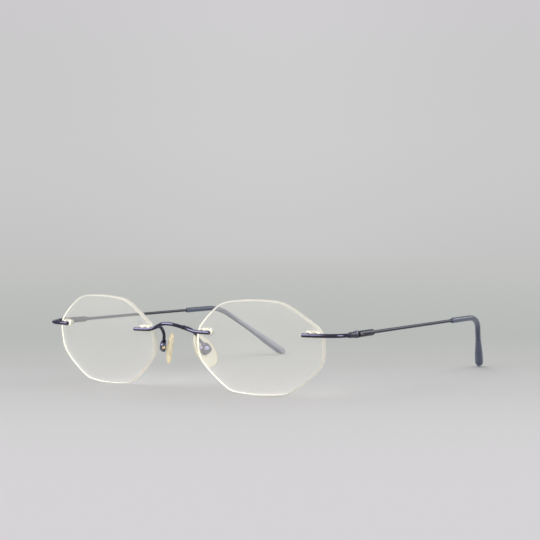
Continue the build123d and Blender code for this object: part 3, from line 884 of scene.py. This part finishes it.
# %% [markdown]
# ## Ear tips
# The tip is a soft sleeve. It starts in a rounded nose on the straight wire, keeps its thickness
# over the bend, swells down the drop, and levels out and thins over its last few millimetres, where
# it lies on the table. Its thickness along the drop is a short table.

# %% Ear tips
TIP_RADIUS, BULB_RADIUS = 1.08, 1.72
NOSE_ROUNDING, NOSE_END_SHARE = 0.9, 0.52
TIP_TO_CORNER = 23.4
TOE_REACH, TOE_RADIUS, TOE_ROUNDING = 2.0, 1.15, 0.7
LEVEL_BEFORE, LEVEL_SOFTNESS, LEVEL_STEPS, TOE_STEPS = 2.4, 0.2, 11, 8
# How far down the drop, then how much of the bulb's extra thickness is reached
swell = [(0.42, 0.0), (0.50, 0.12), (0.58, 0.32), (0.66, 0.54), (0.74, 0.76), (0.80, 0.89)]

ear_end = Vector((50.8946, 70.5665, 1.7000))
tip_start = Vector((64.3010, 18.3739, 22.3640))
ear_corner = tip_start + temple_way * TIP_TO_CORNER
tip_line = full([tip_start] + bend)
for share, reached in swell:
    thick = TIP_RADIUS + (BULB_RADIUS - TIP_RADIUS) * reached
    tip_line.append((ear_corner.lerp(ear_end, share), thick / TIP_RADIUS))
# The last stretch levels out and thins along the surface that it lies on
level_way = Vector((drop_way.x, drop_way.y, 0)).normalized()
fall = -drop_way.z / sqrt(1 - drop_way.z**2)
for passed in spaced(LEVEL_BEFORE + TOE_REACH, LEVEL_STEPS):
    along = passed - LEVEL_BEFORE
    thick = BULB_RADIUS - max(along, 0) / TOE_REACH * (BULB_RADIUS - TOE_RADIUS)
    dropping = BULB_RADIUS - fall * along
    height = (dropping + thick + sqrt((dropping - thick) ** 2 + LEVEL_SOFTNESS)) / 2
    spot = ear_end + level_way * along
    tip_line.append((Vector((spot.x, spot.y, max(height, thick))), thick / TIP_RADIUS))
toe_end = tip_line[-1][0]
for turn in spaced(pi / 2, TOE_STEPS)[1:]:
    spot = toe_end + level_way * TOE_ROUNDING * sin(turn)
    tip_line.append((spot, max(TOE_RADIUS * cos(turn), THINNEST) / TIP_RADIUS))
tip_line = rounded_end(tip_line, NOSE_ROUNDING, NOSE_END_SHARE, steps=8)
wire("ear_tip_left", [tip_line], TIP_RADIUS, "tip", "temple_left", "temple_tip_left", sides=48)
print("drop behind the ear:", round((ear_end - ear_corner).length, 1), "mm")

# %% [markdown]
# ## Lenses
# The lens outline is an octagon whose sides bulge a little and whose corners are rounded. A second,
# tiny line describes the section from the middle of the front face, over the ground edge with its
# two small bevels, to the middle of the back face. A node tree carries the section round the
# outline and bends the result onto a ball, as a real blank is ground. The holes are cut afterwards.

# %% Outline of the lens
CORNER_RADIUS, TOP_CORNER_RADIUS = 7.0, 14.0
CORNER_STEPS, SIDE_STEPS = 8, 14
TOP_SHARE = 0.9
BULGE = 0.038
corner_shares = [(0.431, 0.951), (-0.528, 0.927), (-0.977, 0.342), (-0.991, -0.268)]
corner_shares += [(-0.493, -0.949), (0.428, -0.949), (0.963, -0.324), (0.995, 0.335)]
corners = [Vector((x * LENS_SIZE.x / 2, y * LENS_SIZE.y / 2)) for x, y in corner_shares]


def side_circle(start, end):
    """Centre and radius of the side that bulges outward between two corners."""
    length = (end - start).length
    lift = BULGE * length
    radius = (length**2 / 4 + lift**2) / (2 * lift)
    outward = Vector((start.y - end.y, end.x - start.x)) / length
    return (start + end) / 2 + outward * (radius - lift), radius


def meet(one, one_radius, two, two_radius, near):
    """Where two circles meet, at the place nearest to a point."""
    gap = two - one
    reach = (gap.length_squared + one_radius**2 - two_radius**2) / (2 * gap.length)
    rise = sqrt(one_radius**2 - reach**2)
    way = gap.normalized()
    spots = [one + way * reach + Vector((-way.y, way.x)) * rise * sign for sign in (-1, 1)]
    return min(spots, key=lambda spot: (spot - near).length)


def round_arc(centre, start, end, count):
    """Points on an arc about a centre, the end left out."""
    x, y = start - centre
    turn = Vector((x, y)).angle_signed(end - centre)
    points = []
    for a in spaced(-turn, count)[:-1]:
        points.append(centre + Vector((x * cos(a) - y * sin(a), x * sin(a) + y * cos(a))))
    return points


circles = [side_circle(a, b) for a, b in zip(corners, corners[1:] + corners[:1])]
rounds = []
for k, corner in enumerate(corners):
    (c1, r1), (c2, r2) = circles[k - 1], circles[k]
    radius = TOP_CORNER_RADIUS if corner.y > TOP_SHARE * LENS_SIZE.y / 2 else CORNER_RADIUS
    middle = meet(c1, r1 - radius, c2, r2 - radius, corner)
    ends = [centre + (middle - centre).normalized() * r for centre, r in ((c1, r1), (c2, r2))]
    rounds.append((middle, *ends))
lens_outline = []
for k, (middle, enter, leave) in enumerate(rounds):
    next_enter = rounds[(k + 1) % len(rounds)][1]
    lens_outline += round_arc(middle, enter, leave, CORNER_STEPS)
    lens_outline += round_arc(circles[k][0], leave, next_enter, SIDE_STEPS)
wide, tall = (max(values) - min(values) for values in zip(*lens_outline))
print("lens outline:", len(lens_outline), "points,", round(wide, 2), "by", round(tall, 2), "mm")

# %% Geometry Nodes tree for a blank with an outline and a section
blank_tree, given = geometry_tree(
    "section_round_outline", Section="Object", Ball_radius="Float", Material="Material"
)


def whole(operation, first, second):
    """The result of a sum with whole numbers."""
    settings = {"operation": operation}
    return add_node(blank_tree, "FunctionNodeIntegerMath", settings, _0=first, _1=second)


def point_count(geometry):
    """How many points a geometry has."""
    made = add_node(blank_tree, "GeometryNodeAttributeDomainSize", Geometry=geometry)
    return made.outputs["Point Count"]


def read_position(geometry, index):
    """X, Y and Z of one of its points."""
    place = add_node(blank_tree, "GeometryNodeInputPosition")
    inputs = {"Geometry": geometry, "Value": place, "Index": index}
    settings = {"data_type": "FLOAT_VECTOR"}
    found = add_node(blank_tree, "GeometryNodeSampleIndex", settings, **inputs)
    return add_node(blank_tree, "ShaderNodeSeparateXYZ", _0=found).outputs


def calculate(operation, first, second=0.0):
    return maths(blank_tree, operation, first, second)


outline = given["Geometry"]
section = add_node(blank_tree, "GeometryNodeObjectInfo", Object=given["Section"])
section = section.outputs["Geometry"]
columns, rows = point_count(outline), point_count(section)
grid_size = {"Vertices_X": whole("ADD", columns, 1), "Vertices_Y": rows}
grid = add_node(blank_tree, "GeometryNodeMeshGrid", **grid_size).outputs["Mesh"]
index = add_node(blank_tree, "GeometryNodeInputIndex")
column = whole("MODULO", whole("DIVIDE_FLOOR", index, rows), columns)
on_outline = read_position(outline, column)
on_section = read_position(section, whole("MODULO", index, rows))
x = calculate("MULTIPLY", on_outline[0], on_section[0])
y = calculate("MULTIPLY", on_outline[1], on_section[0])
# The depth of the section, less how far the ball falls away there
squares = calculate("ADD", calculate("MULTIPLY", x, x), calculate("MULTIPLY", y, y))
ball = given["Ball radius"]
left_over = calculate("SUBTRACT", calculate("MULTIPLY", ball, ball), squares)
fallen = calculate("SUBTRACT", calculate("SQRT", left_over), ball)
z = calculate("ADD", on_section[1], fallen)
spot = add_node(blank_tree, "ShaderNodeCombineXYZ", _0=x, _1=y, _2=z)
shaped = add_node(blank_tree, "GeometryNodeSetPosition", Geometry=grid, Position=spot)
merge = {"Geometry": shaped, "Distance": MERGE_REACH}
sealed = add_node(blank_tree, "GeometryNodeMergeByDistance", **merge)
end_tree(blank_tree, sealed, given["Material"])

# %% Helpers for blanks and cuts
def points_object(name, points):
    """A mesh of bare points, to feed a node tree."""
    mesh = bpy.data.meshes.new(name)
    mesh.from_pydata(points, [], [])
    return add_object(name, mesh)


def blank(name, outline, section, ball_mm, plane, slot):
    """A blank on its plane. The section is (share of the outline, depth in mm)."""
    ring = points_object(name + "_outline", [(x * MM, y * MM, 0) for x, y in outline])
    line = points_object(name + "_section", [(share, depth * MM, 0) for share, depth in section])
    inputs = {"Section": line, "Ball_radius": ball_mm * MM, "Material": finish[slot]}
    made = run_tree(ring, blank_tree, name, **inputs)
    bpy.data.objects.remove(line)
    made.data.transform(in_metres(plane))
    return made


def apply_modifier(piece, kind, **settings):
    """A modifier with these settings, worked into the piece's mesh."""
    modifier = piece.modifiers.new(kind.lower(), kind)
    for key, value in settings.items():
        setattr(modifier, key, value)
    mesh = evaluated_mesh(piece)
    piece.modifiers.clear()
    piece.data = mesh


def cut(piece, shape):
    """A shape in millimetres cut out of the piece."""
    cutter = add_object("cutter", shape)
    cutter.data.transform(Matrix.Scale(MM, 4))
    apply_modifier(piece, "BOOLEAN", operation="DIFFERENCE", solver="EXACT", object=cutter)
    bpy.data.objects.remove(cutter)
    print(piece.name, "has", len(piece.data.polygons), "faces after the cut")


def set_finish(piece, *slots):
    """These finishes on the piece and no others."""
    piece.data.materials.clear()
    for slot in slots:
        piece.data.materials.append(finish[slot])


# %% Lenses
EDGE_BEVEL = 0.45
MEAN_HALF_SIZE = 20
SLEEVE_HOLE = 1.84
FACE_MATCH = 0.93

face_shares = [0, 0.12, 0.24, 0.36, 0.48, 0.6, 0.7, 0.8, 0.88, 0.94]
face_shares.append(1 - EDGE_BEVEL / MEAN_HALF_SIZE)
lens_section = [(share, 0) for share in face_shares]
lens_section += [(1, -EDGE_BEVEL), (1, -LENS_THICKNESS / 2), (1, EDGE_BEVEL - LENS_THICKNESS)]
lens_section += [(share, -LENS_THICKNESS) for share in reversed(face_shares)]
lens = blank("lens_glass_left", lens_outline, lens_section, FRONT_RADIUS, lens_plane, "lens")

holes = bmesh.new()
for plane in (nasal, temporal):
    for side in (-PIN_SPACING / 2, PIN_SPACING / 2):
        bmesh.ops.create_cone(
            holes,
            cap_ends=True,
            segments=40,
            radius1=SLEEVE_HOLE / 2,
            radius2=SLEEVE_HOLE / 2,
            depth=3 * LENS_THICKNESS,
            matrix=plane @ Matrix.Translation((side, 0, -LENS_THICKNESS / 2)),
        )
cut(lens, holes)
set_finish(lens, "lens", "lens_edge")
for face in lens.data.polygons:
    outward = (face.center - ball_centre * MM).normalized()
    face.material_index = 0 if abs(face.normal.dot(outward)) > FACE_MATCH else 1
lens.data.shade_smooth()
lens.data.set_sharp_from_angle(angle=radians(30))
place_piece(lens, "front", "lens_left")
print("ground faces of a lens:", sum(face.material_index for face in lens.data.polygons))

# %% [markdown]
# ## Nose pads
# The pad is an egg-shaped cushion. The same tree makes it: an egg for the outline, and a section
# that is domed on the nose side and flatter towards the cup.

# %% Nose pads
PAD_LENGTH, PAD_WIDTH, PAD_THICKNESS = 12.95, 7.0, 2.2
PAD_CENTRE = Vector((8.25, LENS_CENTRE.y + 7.26, 13.96))
SPLAY, TILT, ROLL = radians(38.2), radians(7.85), radians(32)
EGG_POINTS, EGG_TAPER, PAD_BALL = 72, 0.12, 60.0
DOME_STEPS, DOME_POWER, FLATTER_SHARE = 18, 0.62, 0.78

pad_across = Vector((sin(SPLAY), cos(SPLAY), 0))
pad_outward = Vector((cos(SPLAY) * cos(TILT), -sin(SPLAY) * cos(TILT), sin(TILT)))
pad_plane = as_matrix(PAD_CENTRE, pad_across, pad_outward) @ Matrix.Rotation(ROLL, 4, "Z")
egg = []
for a in spaced(2 * pi, EGG_POINTS)[:-1]:
    up = -cos(a)
    egg.append((PAD_WIDTH / 2 * sin(a) * (1 - EGG_TAPER * up), PAD_LENGTH / 2 * up))
pad_section = []
for a in spaced(pi, DOME_STEPS):
    depth = -cos(a)
    depth *= 1 if depth < 0 else FLATTER_SHARE
    pad_section.append((abs(sin(a)) ** DOME_POWER, PAD_THICKNESS / 2 * depth))
pad = blank("nose_pad_soft_left", egg, pad_section, PAD_BALL, pad_plane, "pad")
place_piece(pad, "nose_pad_body_left", "nose_pad_left")

# %% [markdown]
# ## Pad cups
# The cup behind each pad is a stamped, rounded square with a domed back. It is open towards the
# pad, so that the pad's lug can rock in it. The same tree makes the body; a block cuts the slot.

# %% Pad cups
CUP_HALF, CUP_SQUARENESS, CUP_POINTS, CUP_BALL = 1.95, 3.2, 64, 1000.0
CUP_RISE = 0.9
SLOT_MIDDLE, SLOT_SIZE = (0, 0.35, 2.2), (1.34, 2.2, 2.4)
CUP_ORIGIN = Vector((8.0, -60.1465, 13.55))
CUP_ACROSS, CUP_OUTWARD = Vector((0.60182, 0.79864, 0)), Vector((0.79445, -0.59866, 0.1022))
# Share of the outline and height over the pad's middle, from the domed back to the open front
cup_section = [(0, 3.9), (0.2, 3.89), (0.4, 3.84), (0.56, 3.75), (0.7, 3.6), (0.8, 3.42)]
cup_section += [(0.88, 3.2), (0.94, 2.95), (0.98, 2.7), (1, 2.4), (1, 2.15), (0.99, 2.0)]
cup_section += [(0.96, 1.88), (0.9, 1.78), (0.82, 1.72), (0, 1.72)]

cup_plane = as_matrix(CUP_ORIGIN, CUP_ACROSS, CUP_OUTWARD)
cup_outline = []
for a in spaced(2 * pi, CUP_POINTS)[:-1]:
    squared = abs(cos(a)) ** CUP_SQUARENESS + abs(sin(a)) ** CUP_SQUARENESS
    reach = CUP_HALF / squared ** (1 / CUP_SQUARENESS)
    cup_outline.append((reach * cos(a + ROLL), reach * sin(a + ROLL)))
cup_place = cup_plane @ Matrix.Translation((0, CUP_RISE, 0))
cup = blank("pad_cup_left", cup_outline, cup_section, CUP_BALL, cup_place, "box_metal")
slot_block = bmesh.new()
slot_place = cup_plane @ Matrix.Translation(SLOT_MIDDLE) @ Matrix.Diagonal((*SLOT_SIZE, 1))
bmesh.ops.create_cube(slot_block, size=1.0, matrix=slot_place)
cut(cup, slot_block)
set_finish(cup, "box_metal")
for face in cup.data.polygons:
    face.material_index = 0
cup.data.set_sharp_from_angle(angle=CREASE)
place_piece(cup, "front", "pad_box_left")

# %% [markdown]
# ## Small hardware
# Screws, hinge parts, barrels and sleeves have the right shape in the measured model, but its
# surface is made of loose flat triangles. Each is copied, its triangles are joined, flat areas
# become single faces, and every sharp edge gets a tiny bevel, because real edges always catch a
# little light.

# %% Refined copies of the measured parts
SHARP, FLAT = radians(38), radians(0.5)
# Measured part, name, bevel in mm, slot, body
hardware = [
    ("hinge_block_left", "hinge_barrel_left", 0.07, "wire_metal", "front"),
    ("hinge_eye_left", "hinge_plate_left", 0.03, "temple_metal", "temple_left"),
    ("hinge_screw_left", "hinge_pin_screw_left", 0.04, "hinge_screw_metal", "front"),
    ("temple_housing_left", "temple_barrel_left", 0.05, "temple_metal", "temple_left"),
    ("lock_pin_left", "barrel_pin_left", 0.03, "pin_metal", "temple_left"),
    ("pad_screw_left", "pad_cup_screw_left", 0.04, "screw_metal", "front"),
    ("pad_core_left", "pad_lug_left", 0.05, "core", "nose_pad_body_left"),
    ("lens_sleeve_nasal_left", "clear_sleeve_nasal_left", 0.06, "sleeve", "front"),
    ("lens_sleeve_temporal_left", "clear_sleeve_temporal_left", 0.06, "sleeve", "front"),
]
# The hinge block has the duller coating of the temple
other_finish = {"hinge_block_left": "temple_metal"}
# The head of the pad's screw is small and stands a little proud of the cup
SCREW_MIDDLE, SCREW_SCALE = Vector((0, 0.35, 2.5)), (0.76, 0.76, 1.1)
screw_axis = as_matrix(cup_plane @ SCREW_MIDDLE, UP, cup_plane.to_3x3() @ ACROSS)
slimmer = screw_axis @ Matrix.Diagonal((*SCREW_SCALE, 1)) @ screw_axis.inverted()


def refine(node, name, bevel_mm):
    """A smooth copy of a CAD node with softened edges."""
    bm = bmesh.new()
    bm.from_mesh(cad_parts[node].data)
    bmesh.ops.remove_doubles(bm, verts=bm.verts, dist=2 * MERGE_REACH)
    bmesh.ops.dissolve_limit(bm, angle_limit=FLAT, verts=bm.verts, edges=bm.edges)
    piece = add_object(name, bm)
    settings = {"limit_method": "ANGLE", "angle_limit": SHARP, "segments": 2}
    apply_modifier(piece, "BEVEL", width=bevel_mm * MM, **settings)
    piece.data.shade_smooth()
    piece.data.set_sharp_from_angle(angle=SHARP)
    return piece


for node, name, bevel_mm, slot, body in hardware:
    piece = refine(node, name, bevel_mm)
    if node == "pad_screw_left":
        piece.data.transform(in_metres(slimmer))
    set_finish(piece, other_finish.get(node, slot))
    place_piece(piece, body, node)
